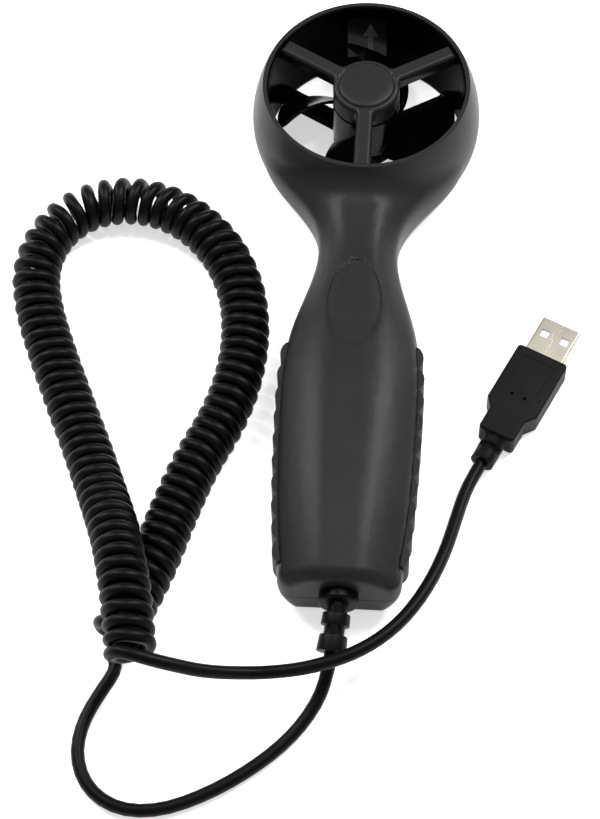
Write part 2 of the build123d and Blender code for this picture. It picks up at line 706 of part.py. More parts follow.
with BuildPart() as strain_relief:
    with BuildSketch(end_plane):
        Circle(COLLAR_RADIUS)
    extrude(amount=COLLAR_LENGTH)
    fillet(strain_relief.faces().sort_by(Axis.Y)[0].edges(), 0.9)
    with BuildSketch(end_plane):
        Circle(neck_radius)
    extrude(amount=-flange_low)
    with BuildSketch(end_plane.offset(-flange_low)):
        Circle(COLLAR_RADIUS + COLLAR_STEP)
    extrude(amount=-FLANGE_THICKNESS)
    with BuildSketch(relief_plane.offset(-1.5)):
        Circle(RELIEF_CORE)
    extrude(amount=RELIEF_LENGTH + 1.5)
    for start, length in RELIEF_RINGS:
        with BuildSketch(relief_plane.offset(start)):
            Circle(RELIEF_RADIUS)
        extrude(amount=length)
    with BuildSketch(end_plane.offset(-flange_high)):
        Circle(cord_radius + SEAT_GAP)
    extrude(amount=3.0, mode=Mode.SUBTRACT)

lead_end = board_near - BOARD_LENGTH
flange_inside = end_y + flange_high
inner_lead_route = [
    (0, flange_inside - 2.5, EXIT_HEIGHT),
    (0, flange_inside + TIE_FROM_FLANGE + 2.0, EXIT_HEIGHT),
    (0, lead_end - 0.8, header_middle + 0.4),
    (0, lead_end + 1.0 - SEAT_GAP, header_middle + 0.4),
]
with BuildPart() as inner_lead:
    add(round_tube(inner_lead_route, 1.5, CORD_DIAMETER)[0])

with BuildPart() as cable_tie:
    with BuildSketch(Plane.XZ.offset(-flange_inside - TIE_FROM_FLANGE)):
        with Locations((0, EXIT_HEIGHT)):
            Circle(cord_radius + SEAT_GAP + 1.1)
            with Locations((0, cord_radius + 1.6)):
                Rectangle(4.2, 3.0)
            Circle(cord_radius + SEAT_GAP, mode=Mode.SUBTRACT)
    extrude(amount=2.5, both=False)

# ---------------------------------------------------------------- USB plug
plug_place = Location((PLUG_PLACE[0], PLUG_PLACE[1], PLUG_THICKNESS / 2), (0, 0, PLUG_TURN))
shell_bore_width = SHELL_WIDTH - 2 * SHELL_WALL
shell_bore_height = SHELL_HEIGHT - 2 * SHELL_WALL
full_shell = SHELL_LENGTH + SHELL_HIDDEN
tongue_face = -0.1
contact_length = 8.0
contact_places = [(x, SHELL_LENGTH - 1.2, tongue_face) for x in (-3.5, -1.0, 1.0, 3.5)]


def on_plug(part):
    """Moves a piece of the plug from beside the origin, pointing along +Y, to where the plug lies."""
    return part.moved(plug_place)


def across_plug(distance):
    """A sketching plane square to the plug, this far ahead of the shoulder of the overmould."""
    return Plane(origin=(0, distance, 0), x_dir=(1, 0, 0), z_dir=(0, -1, 0))


with BuildPart() as shell_shape:
    with BuildSketch(across_plug(SHELL_LENGTH)):
        RectangleRounded(SHELL_WIDTH, SHELL_HEIGHT, 0.6)
        RectangleRounded(shell_bore_width, shell_bore_height, 0.6 - SHELL_WALL, mode=Mode.SUBTRACT)
    extrude(amount=full_shell)
    window_y = WINDOW_PLACE[1] + WINDOW_SIZE[1] / 2
    with Locations((-WINDOW_PLACE[0], window_y, 0), (WINDOW_PLACE[0], window_y, 0)):
        Box(*WINDOW_SIZE, 2 * SHELL_HEIGHT, mode=Mode.SUBTRACT)

with BuildPart() as insert_shape:
    with BuildSketch(across_plug(SHELL_LENGTH - 0.5)):
        with Locations((0, tongue_face)):
            Rectangle(
                shell_bore_width - 2 * SEAT_GAP, shell_bore_height / 2 - tongue_face - SEAT_GAP,
                align=(Align.CENTER, Align.MIN),
            )
    extrude(amount=full_shell - 0.5)
    with BuildSketch(across_plug(0)):
        Rectangle(shell_bore_width - 2 * SEAT_GAP, shell_bore_height - 2 * SEAT_GAP)
    extrude(amount=SHELL_HIDDEN)
    with Locations(*contact_places):
        Box(
            1.0 + SEAT_GAP, contact_length + SEAT_GAP, 0.4,
            align=(Align.CENTER, Align.MAX, Align.CENTER), mode=Mode.SUBTRACT,
        )

with BuildPart() as contact_shape:
    with Locations(*contact_places):
        Box(1.0, contact_length, 0.4, align=(Align.CENTER, Align.MAX, Align.CENTER))

with BuildPart() as body_shape:
    with BuildSketch(Plane.XY) as body_plan:
        with BuildLine():
            Polyline(
                (-PLUG_WIDTH / 2, 0), (PLUG_WIDTH / 2, 0), (PLUG_WIDTH / 2, -PLUG_WIDE_LENGTH),
                (PLUG_NARROW_WIDTH / 2, -PLUG_WIDE_LENGTH - PLUG_SHOULDER),
                (PLUG_NARROW_WIDTH / 2, -PLUG_LENGTH), (-PLUG_NARROW_WIDTH / 2, -PLUG_LENGTH),
                (-PLUG_NARROW_WIDTH / 2, -PLUG_WIDE_LENGTH - PLUG_SHOULDER),
                (-PLUG_WIDTH / 2, -PLUG_WIDE_LENGTH), close=True,
            )
        make_face()
        fillet(body_plan.vertices().group_by(Axis.Y)[-1], 1.2)
        fillet(body_plan.vertices().group_by(Axis.Y)[0], 1.2)
    extrude(amount=PLUG_THICKNESS / 2, both=True)
    fillet(body_shape.faces().sort_by(Axis.Z)[-1].edges(), 0.9)
    fillet(body_shape.faces().sort_by(Axis.Z)[0].edges(), 0.9)
    with BuildSketch(across_plug(1.0)):
        RectangleRounded(SHELL_WIDTH + 2 * SEAT_GAP, SHELL_HEIGHT + 2 * SEAT_GAP, 0.6)
    extrude(amount=1.0 + SHELL_HIDDEN + SEAT_GAP, mode=Mode.SUBTRACT)
    with BuildSketch(across_plug(1.0 - PLUG_LENGTH)):
        Circle(PLUG_RELIEF_CORE)
    extrude(amount=PLUG_RELIEF_LENGTH + 1.0)
    for start, length in ((0.0, 2.6), (4.6, 3.6)):
        with BuildSketch(across_plug(-PLUG_LENGTH - start)):
            Circle(PLUG_RELIEF_RADIUS)
        extrude(amount=length)

with BuildPart() as plug_shell:
    add(on_plug(shell_shape.part))

with BuildPart() as plug_insert:
    add(on_plug(insert_shape.part))

with BuildPart() as plug_contacts:
    add(on_plug(contact_shape.part))

with BuildPart() as plug_body:
    add(on_plug(body_shape.part))

# ---------------------------------------------------------------- the lead and its coil
cord_lengths = {}

with BuildPart() as lead_to_coil:
    lead_solid, cord_lengths["lead_to_coil"] = round_tube(LEAD_TO_COIL, bend_radii(LEAD_TO_COIL), CORD_DIAMETER)
    add(lead_solid)

with BuildPart() as coil:
    coil_solid, cord_lengths["coil"] = round_tube(COIL, bend_radii(COIL), COIL_DIAMETER)
    add(coil_solid)

with BuildPart() as lead_to_plug:
    lead_solid, cord_lengths["lead_to_plug"] = round_tube(LEAD_TO_PLUG, bend_radii(LEAD_TO_PLUG), CORD_DIAMETER)
    add(lead_solid)

# ---------------------------------------------------------------- output
pieces = {
    "front_cover": front_cover,
    "rear_cover": rear_cover,
    "cover_screws": cover_screws,
    "left_grip": left_grip,
    "right_grip": right_grip,
    "duct_sleeve": duct_sleeve,
    "front_guard": front_guard,
    "hub_cap": hub_cap,
    "front_bearing": front_bearing,
    "rear_guard": rear_guard,
    "rear_bearing": rear_bearing,
    "impeller": impeller,
    "impeller_shaft": impeller_shaft,
    "rotor_magnets": rotor_magnets,
    "hall_sensor": hall_sensor,
    "sensor_wires": sensor_wires,
    "circuit_board": circuit_board,
    "wire_header": wire_header,
    "main_chip": main_chip,
    "usb_chip": usb_chip,
    "crystal": crystal,
    "capacitors": capacitors,
    "resistors": resistors,
    "lead_header": lead_header,
    "inner_lead": inner_lead,
    "cable_tie": cable_tie,
    "strain_relief": strain_relief,
    "lead_to_coil": lead_to_coil,
    "coil": coil,
    "lead_to_plug": lead_to_plug,
    "plug_body": plug_body,
    "plug_shell": plug_shell,
    "plug_insert": plug_insert,
    "plug_contacts": plug_contacts,
}
for label, piece in pieces.items():
    piece.part.label = label
    export_step(piece.part, f"parts/{label}.step")

for label, points, diameter in (
    ("lead_to_coil", LEAD_TO_COIL, CORD_DIAMETER),
    ("coil", COIL, COIL_DIAMETER),
    ("lead_to_plug", LEAD_TO_PLUG, CORD_DIAMETER),
):
    expected = cord_lengths[label] * pi * diameter**2 / 4
    radii = [round(radius, 1) for radius in bend_radii(points)]
    print(label, "length", round(cord_lengths[label], 1), "radii", radii)
    print("  volume against section times length", round(pieces[label].part.volume / expected, 4))
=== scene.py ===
# %% [markdown]
# # A vane anemometer probe with a curly USB lead
# The probe lies on its back on a pale table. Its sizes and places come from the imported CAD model, which is
# loaded here as a fixed frame. This script gives it surfaces, its real lead, light and a camera.

# %% Load the frame
import math

import bmesh
import bpy
from mathutils import Matrix, Quaternion, Vector


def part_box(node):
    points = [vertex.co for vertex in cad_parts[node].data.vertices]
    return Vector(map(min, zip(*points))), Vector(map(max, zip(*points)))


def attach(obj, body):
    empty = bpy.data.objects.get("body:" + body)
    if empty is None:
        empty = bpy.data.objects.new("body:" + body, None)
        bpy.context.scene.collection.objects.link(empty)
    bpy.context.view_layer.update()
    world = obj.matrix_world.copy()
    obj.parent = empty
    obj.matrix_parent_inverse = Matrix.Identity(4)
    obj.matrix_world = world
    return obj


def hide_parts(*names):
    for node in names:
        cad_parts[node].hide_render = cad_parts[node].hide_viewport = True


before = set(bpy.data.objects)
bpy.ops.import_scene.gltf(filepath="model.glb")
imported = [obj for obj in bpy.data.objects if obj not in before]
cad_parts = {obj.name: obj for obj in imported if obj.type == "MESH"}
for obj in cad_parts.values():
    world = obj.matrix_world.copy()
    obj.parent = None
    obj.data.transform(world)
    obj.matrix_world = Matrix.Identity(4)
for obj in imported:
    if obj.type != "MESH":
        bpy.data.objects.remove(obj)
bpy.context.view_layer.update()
MM = 0.001
scene = bpy.context.scene


# %% [markdown]
# ## Camera
# A long lens about 0.7 m away looks down on the probe at 59 degrees, so that parallel edges hardly converge.
# The camera is placed by a point to look at and a small roll, which reads more easily than a matrix.

# %% Camera
CAMERA_PLACE = Vector((17.6, -382.3, 593.1)) * MM
CAMERA_AIM = Vector((-14.5, -33.1, 0.0)) * MM
CAMERA_ROLL = math.radians(-2.1)
LENS = 105.5

camera = bpy.data.objects.new("camera", bpy.data.cameras.new("camera"))
scene.collection.objects.link(camera)
camera.data.lens = LENS
camera.data.sensor_width = 36.0
camera.location = CAMERA_PLACE
camera.rotation_mode = "QUATERNION"
looking = (CAMERA_AIM - CAMERA_PLACE).to_track_quat("-Z", "Y")
camera.rotation_quaternion = looking @ Quaternion((0, 0, 1), CAMERA_ROLL)
camera.data.clip_start = 0.01
scene.camera = camera
print("camera distance", round((CAMERA_AIM - CAMERA_PLACE).length, 3))


# %% [markdown]
# ## The lead
# One 3.7 mm cable: plain out of the handle, wound into a curly stretch, and plain again up to the plug.
# A single NURBS spline keeps its length honest. The route's points are the spline's control points, and the
# curly stretch adds points on a helix, worked out along the middle line of the coil.

# %% The route
CORD = 3.7 * MM
COIL_OUTSIDE = 14.2 * MM
TURN_RADIUS = (COIL_OUTSIDE - CORD) / 2

LEAD_TO_COIL = [
    (-1.26, -112.7, 8.03), (-1.94, -119.4, 6.16), (-5.2, -127.4, 3.2), (-11.6, -136.2, 1.95),
    (-20.6, -144.6, 1.9), (-31.4, -152.0, 1.9), (-43.5, -157.4, 1.9), (-54.6, -157.7, 1.9),
    (-63.2, -152.4, 1.9), (-67.3, -143.4, 1.9), (-66.5, -133.6, 1.9), (-62.6, -124.8, 1.9),
    (-58.6, -117.4, 1.9), (-58.0, -110.6, 2.2),
]
COIL = [
    (-60.8, -113.0, 7.2), (-55.8, -101.0, 7.2), (-50.8, -86.6, 7.2), (-46.9, -71.2, 7.2),
    (-42.2, -56.0, 7.2), (-36.0, -42.6, 7.2), (-31.9, -27.4, 7.2), (-31.1, -11.2, 7.2),
    (-33.9, 4.2, 7.2), (-41.5, 18.4, 7.2), (-53.6, 29.2, 7.2), (-67.8, 33.4, 7.2),
    (-81.6, 30.4, 7.2), (-91.4, 20.6, 7.2), (-95.0, 6.8, 7.2), (-92.2, -7.4, 7.2),
    (-86.6, -22.0, 7.2), (-80.0, -37.6, 7.2), (-73.0, -53.6, 7.8), (-66.8, -69.6, 11.4),
    (-60.8, -86.0, 17.8), (-57.2, -99.8, 21.6), (-54.6, -112.4, 22.2), (-52.9, -124.3, 20.8),
]
LEAD_TO_PLUG = [
    (-53.4, -122.4, 16.4), (-46.6, -124.9, 24.6), (-41.0, -124.9, 22.0), (-35.6, -124.4, 18.6),
    (-30.4, -123.4, 15.6), (-25.0, -122.2, 13.2), (-18.4, -121.2, 11.8), (-9.2, -120.4, 13.2),
    (-1.8, -118.6, 14.4), (5.4, -115.4, 14.4),
    (12.4, -110.2, 13.8), (18.8, -102.8, 12.9), (24.4, -92.6, 11.4), (28.4, -81.2, 9.0),
    (31.0, -69.8, 6.2), (33.4, -59.6, 4.3), (37.0, -51.6, 3.9), (38.2, -49.2, 3.9),
]


def nurbs(name, points, thickness=0.0):
    """A curve of one open, smooth spline that passes near these points, in metres."""
    data = bpy.data.curves.new(name, "CURVE")
    data.dimensions = "3D"
    spline = data.splines.new("NURBS")
    spline.points.add(len(points) - 1)
    for place, point in zip(spline.points, points):
        place.co = (*point, 1.0)
    spline.order_u = 3
    spline.use_endpoint_u = True
    data.bevel_depth = thickness / 2
    curve = bpy.data.objects.new(name, data)
    scene.collection.objects.link(curve)
    return curve


def read_line(points, spacing):
    """Evenly spaced points along the smooth spline through these control points."""
    guide = nurbs("guide", points)
    guide.data.resolution_u = 24
    mesh = bpy.data.meshes.new_from_object(guide.evaluated_get(bpy.context.evaluated_depsgraph_get()))
    line = [v.co.copy() for v in mesh.vertices]
    bpy.data.objects.remove(guide)
    places, walked, wanted = [line[0]], 0.0, spacing
    for a, b in zip(line, line[1:]):
        step = (b - a).length
        while walked + step >= wanted:
            places.append(a.lerp(b, (wanted - walked) / step))
            wanted += spacing
        walked += step
    return places


def in_metres(points):
    return [Vector(p) * MM for p in points]


# %% [markdown]
# ## The curly stretch
# The coil is wound at one pitch. Where the loop bends, the turns open on its outside, as the real coil's do, because
# they can't close up further on its inside. A Screw modifier makes a straight coil only, so the turns are points of
# the lead's own spline, a dozen for each turn, placed round the coil's middle line. The number of turns is rounded so
# that the coil starts at its bottom and the lead leaves it from its top.

# %% Sizes of the coil
POINTS_PER_TURN = 12
STRAIGHT_PITCH = 3.85 * MM
STEP = 0.5 * MM
EASE = 3.0 * MM
START_PHASE = math.radians(-90)
END_PHASE = math.radians(100)
FULL_TURN = 2 * math.pi
SHRINK = math.cos(math.pi / POINTS_PER_TURN)
# Steps looked at to each side: for how tight the bend is, and for which way the middle line runs
BEND_REACH = 24
AIM_REACH = 6
# How much of a bend goes into the pitch, the tightest that it may count as, and the slowest turn at an end
CROWDING = 0.92
LEAST_OPEN = 0.6
LEAST_PACE = 0.12
print("radius of the turns in mm", round(TURN_RADIUS / MM, 2))

# %% How far each step turns the helix
middle = read_line(in_metres(COIL), STEP)
advances = []
for i, place in enumerate(middle):
    left, right = middle[max(i - BEND_REACH, 0)], middle[min(i + BEND_REACH, len(middle) - 1)]
    turn = (place - left).angle(right - place, 0.0)
    bend = turn / ((right - left).length / 2 + 1e-9)
    pitch = STRAIGHT_PITCH / max(LEAST_OPEN, 1 - CROWDING * TURN_RADIUS * bend)
    travelled = min(i, len(middle) - 1 - i) * STEP
    advances.append(FULL_TURN * STEP / pitch * max(LEAST_PACE, min(1.0, travelled / EASE)))
whole_turns = math.floor(sum(advances) / FULL_TURN)
stretch = (whole_turns * FULL_TURN + END_PHASE - START_PHASE) / sum(advances)
print("whole turns", whole_turns, "stretched by", round(stretch, 4))

# %% The helix's points
helix = []
phase, due = START_PHASE, START_PHASE
for i, place in enumerate(middle):
    before, after = middle[max(i - AIM_REACH, 0)], middle[min(i + AIM_REACH, len(middle) - 1)]
    ahead = (after - before).normalized()
    side = ahead.cross(Vector((0, 0, 1))).normalized()
    over = side.cross(ahead)
    phase += advances[i] * stretch
    while due <= phase:
        reach = TURN_RADIUS / SHRINK
        helix.append(place + side * (math.cos(due) * reach) + over * (math.sin(due) * reach))
        due += FULL_TURN / POINTS_PER_TURN
print("turns", round((phase - START_PHASE) / FULL_TURN, 1), "helix points", len(helix))

# %% [markdown]
# ## One lead
# Its two plain ends and the helix join in one spline, which is then made a round tube. The curve itself could stay,
# but a mesh has an exact outline for the camera to frame, and the spline's own points still give the lead's path.

# %% The whole lead as one spline
route = in_metres(LEAD_TO_COIL[:-1]) + helix + in_metres(LEAD_TO_PLUG[1:])
spline = nurbs("lead_spline", route, CORD)
spline.data.resolution_u = 3
spline.data.bevel_resolution = 4
spline.data.use_fill_caps = True
tube = bpy.data.meshes.new_from_object(spline.evaluated_get(bpy.context.evaluated_depsgraph_get()))
bpy.data.objects.remove(spline)
tube.shade_smooth()
lead = bpy.data.objects.new("curly_lead", tube)
scene.collection.objects.link(lead)
line = read_line(route, STEP)
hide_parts("lead_to_coil", "coil", "lead_to_plug")
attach(lead, "body")


# %% [markdown]
# ## Surfaces
# Every finish is a small node tree on Object coordinates, so it stays put on its piece. A helper builds the part
# that they share: a noise that shifts the colour a little and varies the gloss with it, and a second, finer one for a
# bump.

# %% A helper for moulded and metal finishes
def finish(name, dark, light, roughness, grain, depth, metallic=0.0, patch=0.012, specular=0.2):
    """A finish with slightly uneven colour and gloss and a grain of this size, in metres."""
    material = bpy.data.materials.new(name)
    material.use_nodes = True
    nodes, links = material.node_tree.nodes, material.node_tree.links
    shader = nodes["Principled BSDF"]
    place = nodes.new("ShaderNodeTexCoord")
    broad = nodes.new("ShaderNodeTexNoise")
    broad.inputs["Scale"].default_value = 1 / patch
    broad.inputs["Detail"].default_value = 3
    tint = nodes.new("ShaderNodeMix")
    tint.data_type = "RGBA"
    tint.inputs[6].default_value = (*dark, 1)
    tint.inputs[7].default_value = (*light, 1)
    gloss = nodes.new("ShaderNodeMapRange")
    gloss.inputs["To Min"].default_value = roughness[0]
    gloss.inputs["To Max"].default_value = roughness[1]
    fine = nodes.new("ShaderNodeTexNoise")
    fine.inputs["Scale"].default_value = 1 / grain
    fine.inputs["Detail"].default_value = 2
    bump = nodes.new("ShaderNodeBump")
    bump.inputs["Strength"].default_value = 1.0
    bump.inputs["Distance"].default_value = depth
    for noise in (broad, fine):
        links.new(place.outputs["Object"], noise.inputs["Vector"])
    links.new(broad.outputs["Fac"], tint.inputs[0])
    links.new(tint.outputs[2], shader.inputs["Base Color"])
    links.new(broad.outputs["Fac"], gloss.inputs["Value"])
    links.new(gloss.outputs["Result"], shader.inputs["Roughness"])
    links.new(fine.outputs["Fac"], bump.inputs["Height"])
    links.new(bump.outputs["Normal"], shader.inputs["Normal"])
    shader.inputs["Metallic"].default_value = metallic
    shader.inputs["Specular IOR Level"].default_value = specular
    return material


def grey(level, warm=0.0):
    return (level * (1 + warm), level, level * (1 - warm))


# %% The finishes
finishes = {
    "cover_plastic": finish("cover_plastic", grey(0.013), grey(0.017), (0.34, 0.42), 0.00045, 0.00003, specular=0.13),
    # The duct sleeve and the rear guard are black plastic, but this finish is far darker than that plastic and has
    # almost no reflection: painted shade for the shaded inside of the duct and the rear guard within it.
    "duct_black_and_painted_shade": finish(
        "duct_black_and_painted_shade", grey(0.0006), grey(0.0012), (0.2, 0.3), 0.002, 0.000004, specular=0.004
    ),
    "rotor_plastic": finish(
        "rotor_plastic", grey(0.0008), grey(0.002), (0.12, 0.22), 0.002, 0.000004, specular=0.12
    ),
    "grip_rubber": finish("grip_rubber", grey(0.006), grey(0.010), (0.5, 0.65), 0.0004, 0.00003),
    "lead_jacket": finish("lead_jacket", grey(0.001), grey(0.002), (0.36, 0.46), 0.0006, 0.000012, specular=0.1),
    "plug_plastic": finish("plug_plastic", grey(0.002), grey(0.004), (0.42, 0.55), 0.00035, 0.00003, specular=0.09),
    "plug_nickel": finish("plug_nickel", (0.44, 0.41, 0.34), (0.54, 0.51, 0.43), (0.26, 0.38), 0.0012, 0.000006, 1.0),
    "insert_plastic": finish("insert_plastic", (0.62, 0.62, 0.74), (0.72, 0.72, 0.82), (0.35, 0.5), 0.001, 0.000006),
    "contact_gold": finish("contact_gold", (0.75, 0.52, 0.18), (0.83, 0.62, 0.26), (0.2, 0.3), 0.001, 0.000004, 1.0),
    "zinc": finish("zinc", (0.42, 0.42, 0.41), (0.58, 0.58, 0.55), (0.3, 0.45), 0.0008, 0.00001, 1.0),
    "bush_brass": finish("bush_brass", (0.55, 0.38, 0.14), (0.66, 0.48, 0.2), (0.25, 0.4), 0.0008, 0.00001, 1.0),
    "magnet": finish("magnet", (0.4, 0.4, 0.42), (0.55, 0.55, 0.56), (0.2, 0.3), 0.001, 0.000006, 1.0),
    "board": finish("board", (0.01, 0.09, 0.03), (0.015, 0.14, 0.05), (0.25, 0.4), 0.0006, 0.00001),
    "chip": finish("chip", grey(0.01), grey(0.018), (0.4, 0.6), 0.0003, 0.00001),
    "nylon": finish("nylon", (0.6, 0.57, 0.48), (0.7, 0.67, 0.58), (0.4, 0.55), 0.001, 0.00001),
    "label": finish("label", grey(0.002), grey(0.003), (0.3, 0.4), 0.001, 0.000004),
    "arrow_ink": finish("arrow_ink", grey(0.10), grey(0.13), (0.45, 0.6), 0.0006, 0.000006),
}
print("finishes", len(finishes))


# %% [markdown]
# ## Moulded pieces
# The CAD surfaces arrive as loose triangles. A copy is welded and shaded smooth below a chosen angle, so that the
# soft curves look continuous and the true edges stay crisp. Each copy stands for its CAD node.

# %% Welded, smooth copies of the CAD pieces
def welded_copy(node, name, sharp_angle):
    """A copy of a CAD node with its triangles joined up and its soft curves shaded smooth."""
    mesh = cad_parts[node].data.copy()
    mesh.name = name
    work = bmesh.new()
    work.from_mesh(mesh)
    bmesh.ops.remove_doubles(work, verts=work.verts, dist=2e-6)
    work.to_mesh(mesh)
    work.free()
    mesh.shade_smooth()
    mesh.set_sharp_from_angle(angle=math.radians(sharp_angle))
    piece = bpy.data.objects.new(name, mesh)
    scene.collection.objects.link(piece)
    even = piece.modifiers.new("even", "WEIGHTED_NORMAL")
    even.keep_sharp = True
    shaded = bpy.data.meshes.new_from_object(piece.evaluated_get(bpy.context.evaluated_depsgraph_get()))
    piece.modifiers.clear()
    piece.data = shaded
    return piece


def dress(piece, material):
    """Gives a piece this one finish all over."""
    piece.data.materials.clear()
    piece.data.materials.append(finishes[material])


def stand_in(piece, node, body, material):
    """A finished piece that takes a CAD node's place."""
    dress(piece, material)
    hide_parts(node)
    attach(piece, body)


moulded = [
    ("front_cover", "body", "cover_plastic", 28),
    ("rear_cover", "body", "cover_plastic", 28),
    ("left_grip", "body", "grip_rubber", 35),
    ("right_grip", "body", "grip_rubber", 35),
    # The duct sleeve and the rear guard carry the duct's painted shade.
    ("duct_sleeve", "body", "duct_black_and_painted_shade", 35),
    ("front_guard", "body", "cover_plastic", 30),
    ("rear_guard", "body", "duct_black_and_painted_shade", 30),
    ("impeller", "rotor", "rotor_plastic", 30),
    ("impeller_shaft", "rotor", "zinc", 35),
    ("front_bearing", "body", "bush_brass", 35),
    ("rear_bearing", "body", "bush_brass", 35),
    ("plug_shell", "body", "plug_nickel", 25),
    ("plug_insert", "body", "insert_plastic", 30),
]
for node, body, material, angle in moulded:
    copy = welded_copy(node, node + "_surface", angle)
    stand_in(copy, node, body, material)
print("welded copies", len(moulded))

# %% [markdown]
# ## Hidden pieces
# The board, its parts and the magnets show only when the covers are off. Their CAD shapes are right, so they stay as
# they are and only get a finish each.

# %% Finishes for the CAD pieces that stay
kept = {
    "rotor_magnets": "magnet", "hall_sensor": "chip", "sensor_wires": "lead_jacket",
    "circuit_board": "board", "wire_header": "nylon", "main_chip": "chip", "usb_chip": "chip", "crystal": "zinc",
    "capacitors": "chip", "resistors": "chip", "lead_header": "nylon", "inner_lead": "lead_jacket",
    "cable_tie": "nylon", "plug_contacts": "contact_gold",
}
for node, material in kept.items():
    dress(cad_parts[node], material)
dress(lead, "lead_jacket")


# %% [markdown]
# ## Turned pieces
# The cap over the bearing and the rubber strain relief are round about an axis. Each is a half outline, with its
# corners rounded, swept round that axis, as on a lathe. The soft edges catch the light as moulded ones do. Primitives
# with a bevel would do for the cap, but not for the relief's waists.

# %% A lathe
def rounded(corner, before, after, radius=1.2, steps=5):
    """Points round a flat corner."""
    c, a, b = Vector(corner), Vector(before), Vector(after)
    start, stop = c + (a - c).normalized() * radius, c + (b - c).normalized() * radius
    arc = []
    for k in range(steps + 1):
        t = k / steps
        arc.append(tuple(start * (1 - t) ** 2 + c * 2 * t * (1 - t) + stop * t**2))
    return arc


def softened(outline, size):
    """A half outline with every inner corner rounded by up to this size."""
    soft = [outline[0]]
    for before, corner, after in zip(outline, outline[1:], outline[2:]):
        room = min((Vector(before) - Vector(corner)).length, (Vector(after) - Vector(corner)).length) / 2
        soft += rounded(corner, before, after, min(size, room), 3)
    return soft + [outline[-1]]


def turned(name, outline, axes, segments=64):
    """A closed round solid from a half outline of (radius, distance along the axis) in mm."""
    rings = [point for point in outline if point[0] > 0]
    work = bmesh.new()
    rows = []
    for radius, along in rings:
        angles = [2 * math.pi * k / segments for k in range(segments)]
        places = [axes @ (Vector((radius * math.cos(a), radius * math.sin(a), along)) * MM) for a in angles]
        rows.append([work.verts.new(place) for place in places])
    for low, high in zip(rows, rows[1:]):
        for k in range(segments):
            after = (k + 1) % segments
            work.faces.new((low[k], low[after], high[after], high[k]))
    work.faces.new(rows[0])
    work.faces.new(rows[-1])
    bmesh.ops.remove_doubles(work, verts=work.verts, dist=1e-6)
    bmesh.ops.recalc_face_normals(work, faces=work.faces)
    mesh = bpy.data.meshes.new(name)
    work.to_mesh(mesh)
    work.free()
    mesh.shade_smooth()
    mesh.set_sharp_from_angle(angle=math.radians(50))
    piece = bpy.data.objects.new(name, mesh)
    scene.collection.objects.link(piece)
    return piece


def axes_along(origin, direction):
    """A matrix whose Z runs this way from the origin, in mm, and whose X stays level."""
    ahead = Vector(direction).normalized()
    across = (Vector((1, 0, 0)) - ahead * ahead.x).normalized()
    up = ahead.cross(across)
    turn = Matrix((across, up, ahead)).transposed().to_4x4()
    return Matrix.Translation(Vector(origin) * MM) @ turn


# %% The cap over the front bearing
# Where an outline starts and ends: just off the axis, so that its end is a small flat face
AXIS = 0.01
cap_low, cap_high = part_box("hub_cap")
cap_middle = (Vector(cap_low) + Vector(cap_high)) / 2
CAP_RADIUS = (cap_high[0] - cap_low[0]) / 2 / MM
CAP_THICKNESS = (cap_high[2] - cap_low[2]) / MM
cap_axes = Matrix.Translation((cap_middle.x, cap_middle.y, cap_low[2]))
cap_outline = [
    (AXIS, 0), (CAP_RADIUS, 0), (CAP_RADIUS, CAP_THICKNESS * 0.66), (CAP_RADIUS * 0.8, CAP_THICKNESS * 0.94),
    (CAP_RADIUS * 0.4, CAP_THICKNESS), (AXIS, CAP_THICKNESS),
]
hub_cap = turned("hub_cap_surface", softened(cap_outline, 0.8), cap_axes)
stand_in(hub_cap, "hub_cap", "body", "cover_plastic")
print("cap radius and thickness in mm", round(CAP_RADIUS, 2), round(CAP_THICKNESS, 2))

# %% The strain relief
END_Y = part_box("front_cover")[0][1] / MM
EXIT_HEIGHT = 11.5
COLLAR_LENGTH = 3.0
collar_axes = axes_along((0, END_Y, EXIT_HEIGHT), (0, -1, 0))
relief_axes = axes_along((0, END_Y - COLLAR_LENGTH, EXIT_HEIGHT), (-1.3, -12.9, -3.6))
collar_outline = [
    (AXIS, -5.3), (6.2, -5.3), (6.2, -3.7), (4.6, -3.7), (4.6, 0.05), (5.4, 0.05), (5.4, COLLAR_LENGTH),
    (AXIS, COLLAR_LENGTH),
]
relief_outline = [
    (AXIS, -1.5), (2.8, -1.5), (2.8, 2.4), (3.75, 2.4), (3.95, 5.8), (2.8, 5.8), (2.8, 8.4), (3.8, 8.4),
    (4.15, 13.0), (AXIS, 13.0),
]
collar = turned("strain_relief_collar", softened(collar_outline, 0.7), collar_axes)
stand_in(collar, "strain_relief", "body", "lead_jacket")
relief = turned("strain_relief_rings", softened(relief_outline, 0.35), relief_axes)
dress(relief, "lead_jacket")
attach(relief, "body")


# %% [markdown]
# ## What repeats
# Rubber bridges join the rings of a strain relief and leave windows between them, so that it bends softly. Four
# cross-headed screws hold the covers together. One of each could be made by hand and copied, but Geometry Nodes keep
# the number, spacing and sizes as named inputs, so a change is one value. The result is turned into a plain mesh.

# %% Helpers for a node tree with named sizes
def start_tree(name, sizes):
    """An empty Geometry Nodes tree with one input for each named size."""
    tree = bpy.data.node_groups.new(name, "GeometryNodeTree")
    for label, value in sizes.items():
        kind = "NodeSocketInt" if isinstance(value, int) else "NodeSocketFloat"
        socket = tree.interface.new_socket(label, in_out="INPUT", socket_type=kind)
        socket.default_value = value
    tree.interface.new_socket("Geometry", in_out="OUTPUT", socket_type="NodeSocketGeometry")
    return tree, tree.nodes.new("NodeGroupInput").outputs


def put(tree, kind, sockets, **settings):
    """Adds a node, with values or links for its inputs."""
    node = tree.nodes.new(kind)
    for key, value in settings.items():
        setattr(node, key, value)
    for key, value in sockets.items():
        if isinstance(value, bpy.types.NodeSocket):
            tree.links.new(value, node.inputs[key])
        else:
            node.inputs[key].default_value = value
    return node


def vector_of(tree, x, y, z):
    return put(tree, "ShaderNodeCombineXYZ", {"X": x, "Y": y, "Z": z}).outputs[0]


